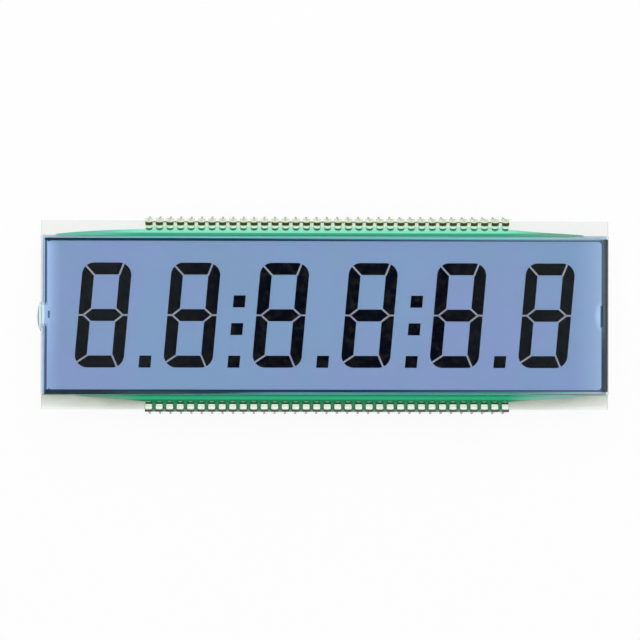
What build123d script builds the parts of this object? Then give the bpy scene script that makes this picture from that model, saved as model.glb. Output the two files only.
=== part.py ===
from build123d import *
import os
from math import atan2, cos, radians, sin, tan

# Six digit liquid crystal display panel with a clip-on pin row along each long edge.
# Frame: X runs along the digits, Y up the digits and Z out of the front face.
# The origin is level with the pin tips, under the centre of the digits.

# Digits
digit_count = 6
digit_height = 25.4
digit_width = 11.93
digit_space = 9.57
digit_corner_radius = 3.0
stroke = 2.9
segment_gap = 0.42
slant_angle = 5.05
gap_drop_left = 2.05
gap_lean_top_right = 0.9
gap_lean_bottom_right = 1.45
centre_joint_inset = 1.2

# Decimal points and colons
point_size = 2.9
point_shift = 0.38
colon_half_spacing = 3.35
colon_after_digits = (2, 4)

# Glass plates and the gap between them
view_margin_side = 7.385
view_margin_top = 5.3
glass_thickness = 1.1
ledge_width = 3.65
cell_gap = 0.10
electrode_thickness = 0.02

# Seal round the liquid crystal
seal_width = 0.9
seal_margin_side = 0.7
seal_margin_top = 0.3
cavity_corner_radius = 0.9
seal_overlap_length = 5.3
seal_overlap_width = 0.25
seal_overlap_y = -0.25

# Filling port in the left side of the seal
port_width = 4.5
port_y = 0.15
port_lip_width = 0.7
post_length = 1.7
post_width = 0.45
post_inset = 0.26
plug_length = 7.0
plug_y = -0.4
plug_bulge = 0.9
plug_height = 1.8
plug_chamfer = 0.4
plug_reach = 1.1

# Polarising films, the front one laid slightly out of square
film_thickness = 0.2
reflector_thickness = 0.1
front_film_left_margin = 0.85
front_film_right_margin = 0.2
front_film_top_margin_left = 0.55
front_film_top_margin_right = 0.7
front_film_bottom_margin_left = 0.05
front_film_bottom_margin_right = 0.75
rear_film_side_margin = 0.2
rear_film_overhang = 0.2

# Counter electrode on the front glass and the dots that connect it
common_margin = 1.2
common_arm_width = 0.4
dot_diameter = 0.6

# Contact pads on the two ledges
pad_width = 1.2
pad_edge_margin = 0.25
pad_seal_gap = 0.35

# Clip-on pins
pins_per_row = 35
pin_pitch = 2.54
pin_row_shift = 0.5
pin_thickness = 0.3
pin_drop = 6.35
pin_splay = 6.0
edge_clearance = 0.5
head_width = 1.8
jaw_tip_width = 1.4
shank_width = 0.5
shoulder_drop = 1.35
shoulder_height = 0.5
pin_point_length = 0.6
pin_point_width = 0.25
crown_height = 1.0
crown_fold = 0.25
crown_length = 0.95
valley_length = 0.72
jaw_tip_length = 0.9
jaw_tip_rise = 0.4
tongue_width = 0.8
tongue_length = 1.5
window_side_gap = 0.1
window_height = 1.3

# Resin beads over the pin rows
bead_tip_clearance = 0.08
bead_height = 0.85
bead_toe = 0.25
bead_sag = 0.12
web_height = 0.25
web_edge_margin = 0.1
top_wick_margin_left = 3.1
top_wick_margin_right = 5.6
bottom_wick_margin_left = 8.1
bottom_wick_margin_right = 4.6
wick_end_share = 0.15

# Outlines, worked outwards from the digits
digit_pitch = digit_width + digit_space
slant = tan(radians(slant_angle))
half_width = digit_width / 2
half_height = digit_height / 2
digits_half = (digit_count - 1) / 2 * digit_pitch + half_width
cavity_half = digits_half + view_margin_side
cavity_edge = half_height + view_margin_top
panel_half = cavity_half + seal_width + seal_margin_side
front_edge = cavity_edge + seal_width + seal_margin_top
rear_edge = front_edge + ledge_width

# Levels, from the pin tips upwards
rear_glass_z = pin_drop
ledge_z = rear_glass_z + glass_thickness
pad_top_z = ledge_z + electrode_thickness
front_glass_z = ledge_z + cell_gap
front_face_z = front_glass_z + glass_thickness
rear_film_z = rear_glass_z - film_thickness
reflector_z = rear_film_z - reflector_thickness

os.makedirs("parts", exist_ok=True)


def save(piece, name):
    piece.label = name
    export_step(piece, "parts/" + name + ".step")


def slanted(x, y):
    return (x + slant * y, y)


# Glass plates

with BuildPart() as rear_glass:
    with BuildSketch(Plane.XY.offset(rear_glass_z)):
        Rectangle(2 * panel_half, 2 * rear_edge)
    extrude(amount=glass_thickness)

with BuildPart() as front_glass:
    with BuildSketch(Plane.XY.offset(front_glass_z)):
        Rectangle(2 * panel_half, 2 * front_edge)
    extrude(amount=glass_thickness)

save(rear_glass.part, "rear_glass")
save(front_glass.part, "front_glass")

# Polarising films and reflector

film_left = front_film_left_margin - panel_half
film_right = panel_half - front_film_right_margin
rear_film_half = panel_half - rear_film_side_margin
rear_film_edge = front_edge + rear_film_overhang
front_film_corners = [
    (film_left, front_edge - front_film_top_margin_left),
    (film_right, front_edge - front_film_top_margin_right),
    (film_right, front_film_bottom_margin_right - front_edge),
    (film_left, front_film_bottom_margin_left - front_edge),
]

with BuildPart() as front_polariser:
    with BuildSketch(Plane.XY.offset(front_face_z)):
        Polygon(*front_film_corners, align=None)
    extrude(amount=film_thickness)

with BuildPart() as rear_polariser:
    with BuildSketch(Plane.XY.offset(rear_film_z)):
        Rectangle(2 * rear_film_half, 2 * rear_film_edge)
    extrude(amount=film_thickness)

with BuildPart() as reflector:
    with BuildSketch(Plane.XY.offset(reflector_z)):
        Rectangle(2 * rear_film_half, 2 * rear_film_edge)
    extrude(amount=reflector_thickness)

save(front_polariser.part, "front_polariser")
save(rear_polariser.part, "rear_polariser")
save(reflector.part, "reflector")

# Contact pads, one under each pin

pad_inner_y = front_edge + pad_seal_gap
pad_outer_y = rear_edge - pad_edge_margin
pad_length = pad_outer_y - pad_inner_y
pad_y = (pad_outer_y + pad_inner_y) / 2


def contact_pads(side):
    with BuildPart() as pads:
        with BuildSketch(Plane((pin_row_shift, side * pad_y, ledge_z))):
            with GridLocations(pin_pitch, 0, pins_per_row, 1):
                Rectangle(pad_width, pad_length)
        extrude(amount=electrode_thickness)
    return pads.part


top_contact_pads = contact_pads(1)
bottom_contact_pads = contact_pads(-1)
save(top_contact_pads, "top_contact_pads")
save(bottom_contact_pads, "bottom_contact_pads")

# Counter electrode under the front glass, with an arm over each end of the top pin row

dot_x = pin_pitch * (pins_per_row - 1) / 2
dot_y = cavity_edge + seal_width / 2
dot_places = [(pin_row_shift - dot_x, dot_y), (pin_row_shift + dot_x, dot_y)]
common_half = digits_half + common_margin
common_edge = half_height + common_margin
arm_length = dot_y - common_edge

with BuildPart() as common_electrode:
    with BuildSketch(Plane.XY.offset(front_glass_z - electrode_thickness)):
        Rectangle(2 * common_half, 2 * common_edge)
        with Locations(*[(x, dot_y - arm_length / 2) for x, y in dot_places]):
            Rectangle(common_arm_width, arm_length)
    extrude(amount=electrode_thickness)

save(common_electrode.part, "common_electrode")

# Crossover dots, set in the seal, join those arms to the rear glass

with BuildPart() as crossover_dots:
    with BuildSketch(Plane.XY.offset(ledge_z)):
        with Locations(*dot_places):
            Circle(dot_diameter / 2)
    extrude(amount=cell_gap - electrode_thickness)

save(crossover_dots.part, "crossover_dots")

# Seal with its filling port, and the post inside the port

overlap_x = cavity_half - seal_overlap_width / 2
lip_x = seal_margin_side / 2 - panel_half
lip_offset = (port_width + port_lip_width) / 2
post_x = post_inset - cavity_half

with BuildPart() as perimeter_seal:
    with BuildSketch(Plane.XY.offset(ledge_z)):
        RectangleRounded(
            2 * (cavity_half + seal_width),
            2 * (cavity_edge + seal_width),
            cavity_corner_radius + seal_width,
        )
        RectangleRounded(
            2 * cavity_half, 2 * cavity_edge, cavity_corner_radius, mode=Mode.SUBTRACT
        )
        with Locations((overlap_x, seal_overlap_y)):
            Rectangle(seal_overlap_width, seal_overlap_length)
        with Locations((lip_x, port_y - lip_offset), (lip_x, port_y + lip_offset)):
            Rectangle(seal_margin_side, port_lip_width)
        with Locations((-cavity_half - seal_width / 2, port_y)):
            Rectangle(seal_width, port_width, mode=Mode.SUBTRACT)
    extrude(amount=cell_gap)
    add(crossover_dots.part, mode=Mode.SUBTRACT)
    add(common_electrode.part, mode=Mode.SUBTRACT)

with BuildPart() as fill_port_post:
    with BuildSketch(Plane((post_x, port_y, ledge_z))):
        Rectangle(post_width, post_length)
    extrude(amount=cell_gap)

save(perimeter_seal.part, "perimeter_seal")
save(fill_port_post.part, "fill_port_post")

# End plug: a bead on the glass edge with a tongue in the port

plug_mid_z = ledge_z + cell_gap / 2

with BuildPart() as fill_port_plug:
    with BuildSketch(Plane((-panel_half, plug_y, plug_mid_z))):
        with BuildLine():
            SagittaArc((0, plug_length / 2), (0, -plug_length / 2), -plug_bulge)
            Line((0, -plug_length / 2), (0, plug_length / 2))
        make_face()
    extrude(amount=plug_height / 2, both=True)
    chamfer(fill_port_plug.faces().sort_by(Axis.X)[0].edges(), length=plug_chamfer)
    with BuildSketch(Plane((plug_reach / 2 - panel_half, port_y, ledge_z))):
        Rectangle(plug_reach, port_width)
    extrude(amount=cell_gap)

save(fill_port_plug.part, "fill_port_plug")

# Liquid crystal, between the two electrode layers

channel_length = panel_half - plug_reach - cavity_half
channel_x = -cavity_half - channel_length / 2

with BuildPart() as liquid_crystal:
    with BuildSketch(Plane.XY.offset(pad_top_z)):
        RectangleRounded(2 * cavity_half, 2 * cavity_edge, cavity_corner_radius)
        with Locations((channel_x, port_y)):
            Rectangle(channel_length, port_width)
        with Locations((overlap_x, seal_overlap_y)):
            Rectangle(seal_overlap_width, seal_overlap_length, mode=Mode.SUBTRACT)
        with Locations((post_x, port_y)):
            Rectangle(post_width, post_length, mode=Mode.SUBTRACT)
    extrude(amount=cell_gap - 2 * electrode_thickness)

save(liquid_crystal.part, "liquid_crystal")

# Digits: one slanted outline, opened by two windows and parted by narrow gaps

window_x = half_width - stroke
window_top = half_height - stroke
window_bottom = stroke / 2
joint_x = half_width - centre_joint_inset


def digit_x(index):
    return (index - (digit_count - 1) / 2) * digit_pitch


def slanted_block(left, right, bottom, top, mode=Mode.ADD):
    corners = [
        slanted(left, bottom), slanted(right, bottom), slanted(right, top), slanted(left, top)
    ]
    return Polygon(*corners, align=None, mode=mode)


def gap_strip(start, end):
    # A strip of the gap's width along one line, run on past both of its ends
    x1, y1 = slanted(*start)
    x2, y2 = slanted(*end)
    turn = atan2(y2 - y1, x2 - x1)
    dx = segment_gap / 2 * cos(turn)
    dy = segment_gap / 2 * sin(turn)
    corners = [
        (x1 - dx - dy, y1 - dy + dx),
        (x2 + dx - dy, y2 + dy + dx),
        (x2 + dx + dy, y2 + dy - dx),
        (x1 - dx + dy, y1 - dy - dx),
    ]
    return Polygon(*corners, align=None, mode=Mode.SUBTRACT)


with BuildSketch() as digit_face:
    slanted_block(-half_width, half_width, -half_height, half_height)
    fillet(digit_face.vertices(), radius=digit_corner_radius)
    slanted_block(-window_x, window_x, window_bottom, window_top, Mode.SUBTRACT)
    slanted_block(-window_x, window_x, -window_top, -window_bottom, Mode.SUBTRACT)
    gap_strip((-window_x, window_top), (-half_width, half_height))
    gap_strip((window_x, window_top), (window_x + gap_lean_top_right, half_height))
    gap_strip((-window_x, -window_top), (-half_width, -window_top - gap_drop_left))
    gap_strip((window_x, -window_top), (window_x + gap_lean_bottom_right, -half_height))
    for side in (-1, 1):
        gap_strip((side * window_x, window_bottom), (side * joint_x, 0))
        gap_strip((side * window_x, -window_bottom), (side * joint_x, 0))
        gap_strip((side * joint_x, 0), (side * half_width, 0))

for index in range(digit_count):
    with BuildPart() as digit_segments:
        with BuildSketch(Plane((digit_x(index), 0, ledge_z))):
            add(digit_face.sketch)
        extrude(amount=electrode_thickness)
    save(digit_segments.part, "digit_" + str(index + 1) + "_segments")

# Decimal points and colons, slanted like the digits

point_half = point_size / 2
point_offset = digit_pitch / 2 + point_shift
point_bottom = -half_height
point_top = point_bottom + point_size

with BuildPart() as decimal_points:
    with BuildSketch(Plane.XY.offset(ledge_z)):
        for index in range(digit_count - 1):
            x = digit_x(index) + point_offset
            slanted_block(x - point_half, x + point_half, point_bottom, point_top)
    extrude(amount=electrode_thickness)

with BuildPart() as colons:
    with BuildSketch(Plane.XY.offset(ledge_z)):
        for number in colon_after_digits:
            x = digit_x(number - 1) + point_offset
            for y in (-colon_half_spacing, colon_half_spacing):
                slanted_block(x - point_half, x + point_half, y - point_half, y + point_half)
    extrude(amount=electrode_thickness)

save(decimal_points.part, "decimal_points")
save(colons.part, "colons")

# One clip-on pin of the top row, stamped from strip and bent round the glass edge

wall_inner_y = rear_edge + edge_clearance
wall_outer_y = wall_inner_y + pin_thickness
crown_z = pad_top_z + crown_height
knee_z = rear_glass_z - shoulder_drop
tip_y = wall_inner_y + knee_z * tan(radians(pin_splay))
valley_y = wall_inner_y - crown_length - valley_length
jaw_tip_y = valley_y - jaw_tip_length
strip_inner_face = [
    (tip_y, 0),
    (wall_inner_y, knee_z),
    (wall_inner_y, crown_z - pin_thickness - crown_fold),
    (wall_inner_y - crown_fold, crown_z - pin_thickness),
    (wall_inner_y - crown_length, crown_z - pin_thickness),
    (valley_y, pad_top_z),
    (jaw_tip_y, pad_top_z + jaw_tip_rise),
]
shank_top_z = knee_z - shoulder_height
blank_outline = [
    (-pin_point_width / 2, 0),
    (pin_point_width / 2, 0),
    (shank_width / 2, pin_point_length),
    (shank_width / 2, shank_top_z),
    (head_width / 2, knee_z),
    (head_width / 2, crown_z),
    (-head_width / 2, crown_z),
    (-head_width / 2, knee_z),
    (-shank_width / 2, shank_top_z),
    (-shank_width / 2, pin_point_length),
]
head_plan = [
    (-jaw_tip_width / 2, jaw_tip_y - pin_thickness),
    (jaw_tip_width / 2, jaw_tip_y - pin_thickness),
    (head_width / 2, wall_inner_y),
    (head_width / 2, tip_y + pin_thickness),
    (-head_width / 2, tip_y + pin_thickness),
    (-head_width / 2, wall_inner_y),
]
window_width = tongue_width + 2 * window_side_gap
tongue_z = rear_glass_z - pin_thickness
tongue_reach = wall_outer_y - (rear_edge - tongue_length)

with BuildPart() as pin:
    with BuildSketch(Plane.YZ):
        with BuildLine():
            Polyline(*strip_inner_face)
            offset(amount=pin_thickness, side=Side.RIGHT, kind=Kind.INTERSECTION)
        make_face()
    extrude(amount=head_width / 2, both=True)
    with BuildSketch(Plane.XZ):
        Polygon(*blank_outline, align=None)
    extrude(amount=2 * tip_y, both=True, mode=Mode.INTERSECT)
    with BuildSketch(Plane.XY):
        Polygon(*head_plan, align=None)
    extrude(amount=crown_z, mode=Mode.INTERSECT)
    with BuildSketch(Plane((0, wall_outer_y, rear_glass_z), z_dir=(0, -1, 0))):
        with Locations((0, window_height / 2)):
            Rectangle(window_width, window_height)
    extrude(amount=pin_thickness, mode=Mode.SUBTRACT)
    with BuildSketch(Plane((0, wall_outer_y - tongue_reach / 2, tongue_z))):
        Rectangle(tongue_width, tongue_reach)
    extrude(amount=pin_thickness)

with BuildPart() as top_pins:
    with Locations((pin_row_shift, 0)):
        with GridLocations(pin_pitch, 0, pins_per_row, 1):
            add(pin.part)

with BuildPart() as bottom_pins:
    mirror(top_pins.part, about=Plane.XZ)

save(top_pins.part, "top_pins")
save(bottom_pins.part, "bottom_pins")

# Resin beads along the front glass, running out as thin wicks past the pins

web_width = pin_pitch - head_width
bead_width = jaw_tip_y - bead_tip_clearance - front_edge
web_start_y = front_edge + bead_width
web_end_y = rear_edge - web_edge_margin
web_length = web_end_y - web_start_y
bead_half = dot_x + head_width / 2


def bead_section(x, share):
    width = bead_width * share
    height = bead_height * share
    toe = bead_toe * share
    with BuildSketch(Plane.YZ.offset(x)) as section:
        with BuildLine():
            foot = Line((front_edge + width, pad_top_z), (front_edge, pad_top_z))
            back = Line(foot @ 1, (front_edge, pad_top_z + height))
            toe_top = (front_edge + width, pad_top_z + toe)
            SagittaArc(back @ 1, toe_top, bead_sag * share)
            Line(toe_top, foot @ 0)
        make_face()
    return section.sketch


def resin_bead(left_margin, right_margin):
    left_end = pin_row_shift - bead_half
    right_end = pin_row_shift + bead_half
    left_tip = left_margin - panel_half
    right_tip = panel_half - right_margin
    with BuildPart() as bead:
        loft([bead_section(left_tip, wick_end_share), bead_section(left_end, 1)])
        extrude(bead_section(left_end, 1), amount=right_end - left_end, dir=(1, 0, 0))
        loft([bead_section(right_end, 1), bead_section(right_tip, wick_end_share)])
        with BuildSketch(Plane((pin_row_shift, web_start_y + web_length / 2, pad_top_z))):
            with GridLocations(pin_pitch, 0, pins_per_row - 1, 1):
                Rectangle(web_width, web_length)
        extrude(amount=web_height)
    return bead.part


top_pin_resin = resin_bead(top_wick_margin_left, top_wick_margin_right)
bottom_bead = resin_bead(bottom_wick_margin_left, bottom_wick_margin_right)
bottom_pin_resin = mirror(bottom_bead, about=Plane.XZ)
save(top_pin_resin, "top_pin_resin")
save(bottom_pin_resin, "bottom_pin_resin")
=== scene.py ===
from math import atan2, radians, tan

import bmesh
import bpy
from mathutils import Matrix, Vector


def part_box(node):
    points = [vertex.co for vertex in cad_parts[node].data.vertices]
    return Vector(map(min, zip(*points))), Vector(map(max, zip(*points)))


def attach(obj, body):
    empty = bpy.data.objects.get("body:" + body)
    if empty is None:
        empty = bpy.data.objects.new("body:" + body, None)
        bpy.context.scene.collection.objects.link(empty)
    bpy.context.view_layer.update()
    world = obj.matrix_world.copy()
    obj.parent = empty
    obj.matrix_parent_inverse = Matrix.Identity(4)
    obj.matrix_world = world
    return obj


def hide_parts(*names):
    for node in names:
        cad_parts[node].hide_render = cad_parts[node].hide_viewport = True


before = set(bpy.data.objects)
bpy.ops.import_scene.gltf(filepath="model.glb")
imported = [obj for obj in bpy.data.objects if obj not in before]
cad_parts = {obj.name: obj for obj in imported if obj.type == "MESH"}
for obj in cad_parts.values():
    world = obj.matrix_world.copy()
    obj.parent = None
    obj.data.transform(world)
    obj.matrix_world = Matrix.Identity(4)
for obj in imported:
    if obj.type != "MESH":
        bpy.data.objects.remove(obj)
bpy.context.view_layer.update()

# Six digit liquid crystal panel, face up on its pin tips.
# Metres, X along the digits, Y up the digits, Z out of the front face.

mm = 0.001
body = "root"


# small helpers

def shade(red, green, blue):
    # a screen colour out of 255 as the linear colour that a shader wants
    def linear(value):
        value = value / 255
        return value / 12.92 if value <= 0.04045 else ((value + 0.055) / 1.055) ** 2.4
    return (linear(red), linear(green), linear(blue), 1)


def editAll():
    bpy.ops.object.mode_set(mode="EDIT")
    bpy.ops.mesh.select_all(action="SELECT")


def leaveEdit():
    bpy.ops.object.mode_set(mode="OBJECT")


def clearSelection():
    if bpy.context.object and bpy.context.object.mode != "OBJECT":
        leaveEdit()
    bpy.ops.object.select_all(action="DESELECT")


def takeUp(piece):
    # the piece alone is selected and active
    clearSelection()
    piece.select_set(True)
    bpy.context.view_layer.objects.active = piece


def settle(piece):
    # place, turn and scale go into the mesh
    takeUp(piece)
    bpy.ops.object.transform_apply(location=True, rotation=True, scale=True)


def pick(kind, test):
    # in edit mode: select the corners, edges or faces whose middle, in millimetres, passes the test
    mesh = bmesh.from_edit_mesh(bpy.context.object.data)
    for part in (*mesh.verts, *mesh.edges, *mesh.faces):
        part.select = False
    for part in getattr(mesh, kind):
        if kind == "verts":
            middle = part.co
        elif kind == "edges":
            middle = (part.verts[0].co + part.verts[1].co) / 2
        else:
            middle = part.calc_center_median()
        if test(middle / mm, part):
            part.select_set(True)
    bmesh.update_edit_mesh(bpy.context.object.data)


def near(value, target, slack=0.01):
    return abs(value - target) < slack


def pickMode(kind):
    bpy.ops.mesh.select_mode(type=kind)


def push(y, z, x=0):
    bpy.ops.mesh.extrude_region_move(TRANSFORM_OT_translate={"value": (x * mm, y * mm, z * mm)})


def applyAll(piece):
    takeUp(piece)
    for modifier in list(piece.modifiers):
        bpy.ops.object.modifier_apply(modifier=modifier.name)


def copyOf(piece, name, x=0, y=0, z=0):
    twin = piece.copy()
    twin.data = piece.data.copy()
    twin.name = name
    twin.location = (x * mm, y * mm, z * mm)
    bpy.context.collection.objects.link(twin)
    return twin


def joined(pieces, name):
    clearSelection()
    for piece in pieces:
        piece.select_set(True)
    bpy.context.view_layer.objects.active = pieces[0]
    bpy.ops.object.join()
    whole = bpy.context.object
    whole.name = name
    whole.data.name = name
    settle(whole)
    return whole


def finished(piece, name, material, slotName, *nodes):
    piece.name = name
    piece.data.name = name
    piece.data.materials.clear()
    piece.data.materials.append(material)
    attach(piece, body)
    if nodes:
        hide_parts(*nodes)
    print("piece", name, len(piece.data.polygons), "faces")


# material building blocks

class Finish:
    # one node material, with the nodes wired as they are asked for
    def __init__(self, name):
        self.material = bpy.data.materials.new(name)
        self.material.use_nodes = True
        self.nodes = self.material.node_tree.nodes
        self.links = self.material.node_tree.links
        self.shader = self.nodes["Principled BSDF"]
        self.place = self.nodes.new("ShaderNodeTexCoord").outputs["Object"]
        split = self.nodes.new("ShaderNodeSeparateXYZ")
        self.links.new(self.place, split.inputs[0])
        self.x, self.y, self.z = split.outputs
        self.outX = self.sum("ABSOLUTE", self.x)
        self.outY = self.sum("ABSOLUTE", self.y)

    def join(self, source, socket):
        # a value or a screen colour is set, and a node's output is linked
        if isinstance(source, (list, tuple)):
            socket.default_value = shade(*source)
        elif isinstance(source, (int, float)):
            socket.default_value = source
        else:
            self.links.new(source, socket)

    def grain(self, size, detail=2.0, stretch=(1, 1, 1), shift=0):
        # noise whose features are about size millimetres across
        mapping = self.nodes.new("ShaderNodeMapping")
        mapping.inputs["Location"].default_value = (shift, shift, shift)
        mapping.inputs["Scale"].default_value = stretch
        self.links.new(self.place, mapping.inputs["Vector"])
        texture = self.nodes.new("ShaderNodeTexNoise")
        texture.inputs["Scale"].default_value = 1 / (size * mm)
        texture.inputs["Detail"].default_value = detail
        self.links.new(mapping.outputs["Vector"], texture.inputs["Vector"])
        return texture.outputs["Fac"]

    def span(self, value, low, high, start=0.0, end=1.0, smooth=False):
        # value from low to high becomes start to end, held past both ends
        mapRange = self.nodes.new("ShaderNodeMapRange")
        mapRange.interpolation_type = "SMOOTHSTEP" if smooth else "LINEAR"
        self.join(value, mapRange.inputs["Value"])
        mapRange.inputs["From Min"].default_value = low
        mapRange.inputs["From Max"].default_value = high
        mapRange.inputs["To Min"].default_value = start
        mapRange.inputs["To Max"].default_value = end
        return mapRange.outputs["Result"]

    def ramp(self, value, low, high, start=0.0, end=1.0):
        # span between two places in millimetres
        return self.span(value, low * mm, high * mm, start, end)

    def patch(self, **fades):
        # a share that fades along each named axis: from where to where, and the share at each
        return self.times(*[self.ramp(getattr(self, axis), *fade) for axis, fade in fades.items()])

    def sum(self, operation, first, second=0.0):
        maths = self.nodes.new("ShaderNodeMath")
        maths.operation = operation
        self.join(first, maths.inputs[0])
        self.join(second, maths.inputs[1])
        return maths.outputs[0]

    def times(self, first, *others):
        for other in others:
            first = self.sum("MULTIPLY", first, other)
        return first

    def most(self, first, second):
        return self.sum("MAXIMUM", first, second)

    def away(self, value, place):
        # how far value is from a place in millimetres
        return self.sum("ABSOLUTE", self.sum("SUBTRACT", value, place * mm))

    def mix(self, share, first, second):
        mixer = self.nodes.new("ShaderNodeMix")
        mixer.data_type = "RGBA"
        self.join(share, mixer.inputs[0])
        self.join(first, mixer.inputs[6])
        self.join(second, mixer.inputs[7])
        return mixer.outputs[2]

    def layered(self, tone, *layers):
        # colours laid over each other, each by its share
        for share, colour in layers:
            tone = self.mix(share, tone, colour)
        return tone

    def fromNearest(self, value, shift, pitch):
        # how far value is from the nearest of a row of middles, in millimetre spacing
        return self.sum("PINGPONG", self.sum("SUBTRACT", value, shift * mm), pitch / 2 * mm)

    def letsThrough(self, share):
        # 1 for what is seen, share for the light that falls through
        path = self.nodes.new("ShaderNodeLightPath")
        return self.span(path.outputs["Is Shadow Ray"], 0, 1, 1, share)

    def facing(self, blend):
        weight = self.nodes.new("ShaderNodeLayerWeight")
        weight.inputs["Blend"].default_value = blend
        return weight.outputs["Facing"]

    def bump(self, height, distance, strength=1.0):
        bump = self.nodes.new("ShaderNodeBump")
        bump.inputs["Strength"].default_value = strength
        bump.inputs["Distance"].default_value = distance * mm
        self.join(height, bump.inputs["Height"])
        self.links.new(bump.outputs["Normal"], self.shader.inputs["Normal"])

    def set(self, **values):
        names = {"colour": "Base Color", "roughness": "Roughness", "metallic": "Metallic",
                 "alpha": "Alpha", "ior": "IOR", "coat": "Coat Weight", "specular": "Specular IOR Level"}
        for key, value in values.items():
            self.join(value, self.shader.inputs[names[key]])


def dress(node, material):
    # a CAD node keeps its mesh and takes a new material
    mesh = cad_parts[node].data
    if mesh.materials:
        for index in range(len(mesh.materials)):
            mesh.materials[index] = material
    else:
        mesh.materials.append(material)


# camera, light and floor

cameraLook = {"place": (-16.03, -1.153, 657.833), "sideways": -1.3, "turn": 0.109, "lens": 151.03,
              "sensor": 36}
lightLook = {"skyTop": 0.50, "skySide": 0.22, "skyHeight": 0.7,
             "floorShare": 0.90, "floorSize": 8, "paper": (246, 247, 247), "paperWarm": (252, 252, 251),
             "topBox": 7.6, "topBoxSize": 1.7, "topBoxPlace": (0, 0.15, 1.3),
             "backBox": 8.4, "backBoxSize": 1.6, "backBoxPlace": (0, 1.05, 0.75)}

bpy.ops.object.camera_add(
    location=[value * mm for value in cameraLook["place"]],
    rotation=(0, radians(cameraLook["sideways"]), radians(cameraLook["turn"])),
)
camera = bpy.context.object
camera.name = "camera"
camera.data.lens = cameraLook["lens"]
camera.data.sensor_width = cameraLook["sensor"]
bpy.context.scene.camera = camera
bpy.context.scene.view_settings.view_transform = "Standard"
bpy.context.scene.cycles.transparent_max_bounces = 24     # many clear layers lie on each other

world = bpy.data.worlds.new("studio")
bpy.context.scene.world = world
world.use_nodes = True
skyNodes, skyLinks = world.node_tree.nodes, world.node_tree.links
background = skyNodes["Background"]
skyPlace = skyNodes.new("ShaderNodeTexCoord")
skySplit = skyNodes.new("ShaderNodeSeparateXYZ")
skyRamp = skyNodes.new("ShaderNodeMapRange")
skyRamp.interpolation_type = "SMOOTHSTEP"
skyRamp.inputs["From Min"].default_value = 0.0
skyRamp.inputs["From Max"].default_value = lightLook["skyHeight"]
skyRamp.inputs["To Min"].default_value = lightLook["skySide"]
skyRamp.inputs["To Max"].default_value = lightLook["skyTop"]
skyLinks.new(skyPlace.outputs["Generated"], skySplit.inputs[0])
skyLinks.new(skySplit.outputs["Z"], skyRamp.inputs["Value"])
skyLinks.new(skyRamp.outputs["Result"], background.inputs["Strength"])
background.inputs["Color"].default_value = (1, 1, 1, 1)


def addSoftbox(name, place, size, energy):
    bpy.ops.object.light_add(type="AREA", location=place)
    softbox = bpy.context.object
    softbox.name = name
    softbox.data.size = size
    softbox.data.energy = energy
    softbox.rotation_euler = (-Vector(place)).to_track_quat("-Z", "Y").to_euler()


addSoftbox("top_softbox", lightLook["topBoxPlace"], lightLook["topBoxSize"], lightLook["topBox"])
addSoftbox("back_softbox", lightLook["backBoxPlace"], lightLook["backBoxSize"], lightLook["backBox"])

clearSelection()
bpy.ops.mesh.primitive_plane_add(size=lightLook["floorSize"], location=(0, 0, 0))
floor = bpy.context.object
floor.name = "floor"
paper = Finish("floor_paper")
paper.set(colour=paper.mix(paper.grain(40), lightLook["paper"], lightLook["paperWarm"]),
          roughness=0.9, specular=0.1)
# to the eye it shines with an even white, and the panel's light and shadow show only in part
lightPath = paper.nodes.new("ShaderNodeLightPath")
seen = paper.most(lightPath.outputs["Is Camera Ray"], lightPath.outputs["Is Glossy Ray"])
seen = paper.most(seen, lightPath.outputs["Is Transmission Ray"])
seen = paper.times(seen, lightLook["floorShare"])
glow = paper.nodes.new("ShaderNodeEmission")
blend = paper.nodes.new("ShaderNodeMixShader")
paper.links.new(seen, blend.inputs[0])
paper.links.new(paper.shader.outputs[0], blend.inputs[1])
paper.links.new(glow.outputs[0], blend.inputs[2])
paper.links.new(blend.outputs[0], paper.nodes["Material Output"].inputs["Surface"])
floor.data.materials.append(paper.material)
print("stage ready")


# glass plates

glassLook = {"face": (226, 232, 232), "faceWarm": (236, 238, 236), "rim": (168, 196, 188),
             "rimAlpha": 0.45, "rimDepth": 0.03, "endDepth": 0.12, "gloss": 0.35, "shadow": 0.15,
             "frontVeil": 0.0005, "rearVeil": 0.03, "plugHalf": 3.4, "plugFade": 0.2, "plugY": -0.4,
             # resin that wets the rim and the gap outside the seal, and painted shadow seen through the
             # ledges: a colour, or where its share fades in mm and the share at both places
             "wetAbove": (96, 196, 164), "wetBelow": (40, 150, 104), "wetEnds": (56, 64, 1, 0),
             "ledgeShadow": (148, 164, 140), "ledgeShadowUp": (-23.3, -19.4, 0.05, 1), "ledgeShadowEnds": (52, 69, 1, 0.45),
             "ledgeShadowBelow": (-19.3, -19.0, 0.9, 0), "ledgeShadowAbove": (19.0, 19.3, 0, 0.10),
             "creptFrom": (18.8, 18.85), "creptTo": (19.2, 19.25, 1, 0), "creptEnds": (46, 66, 1, 0),
             "creptClear": 0.9, "creptTop": (136, 238, 224), "creptTopRight": (194, 236, 234),
             "creptBottomLeft": (70, 160, 138), "creptBottom": (72, 182, 172),
             "creptBottomRight": (134, 180, 190), "toLeft": (-26, -12), "toRight": (34, 58),
             "upperFace": (7.35, 7.4), "endTint": (176, 206, 240), "endX": (-67.9, -67.8, 1, 0),
             "endUp": (-8, 4, 0.6, 0.1), "endTo": (18.6, 19, 1, 0)}


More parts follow.
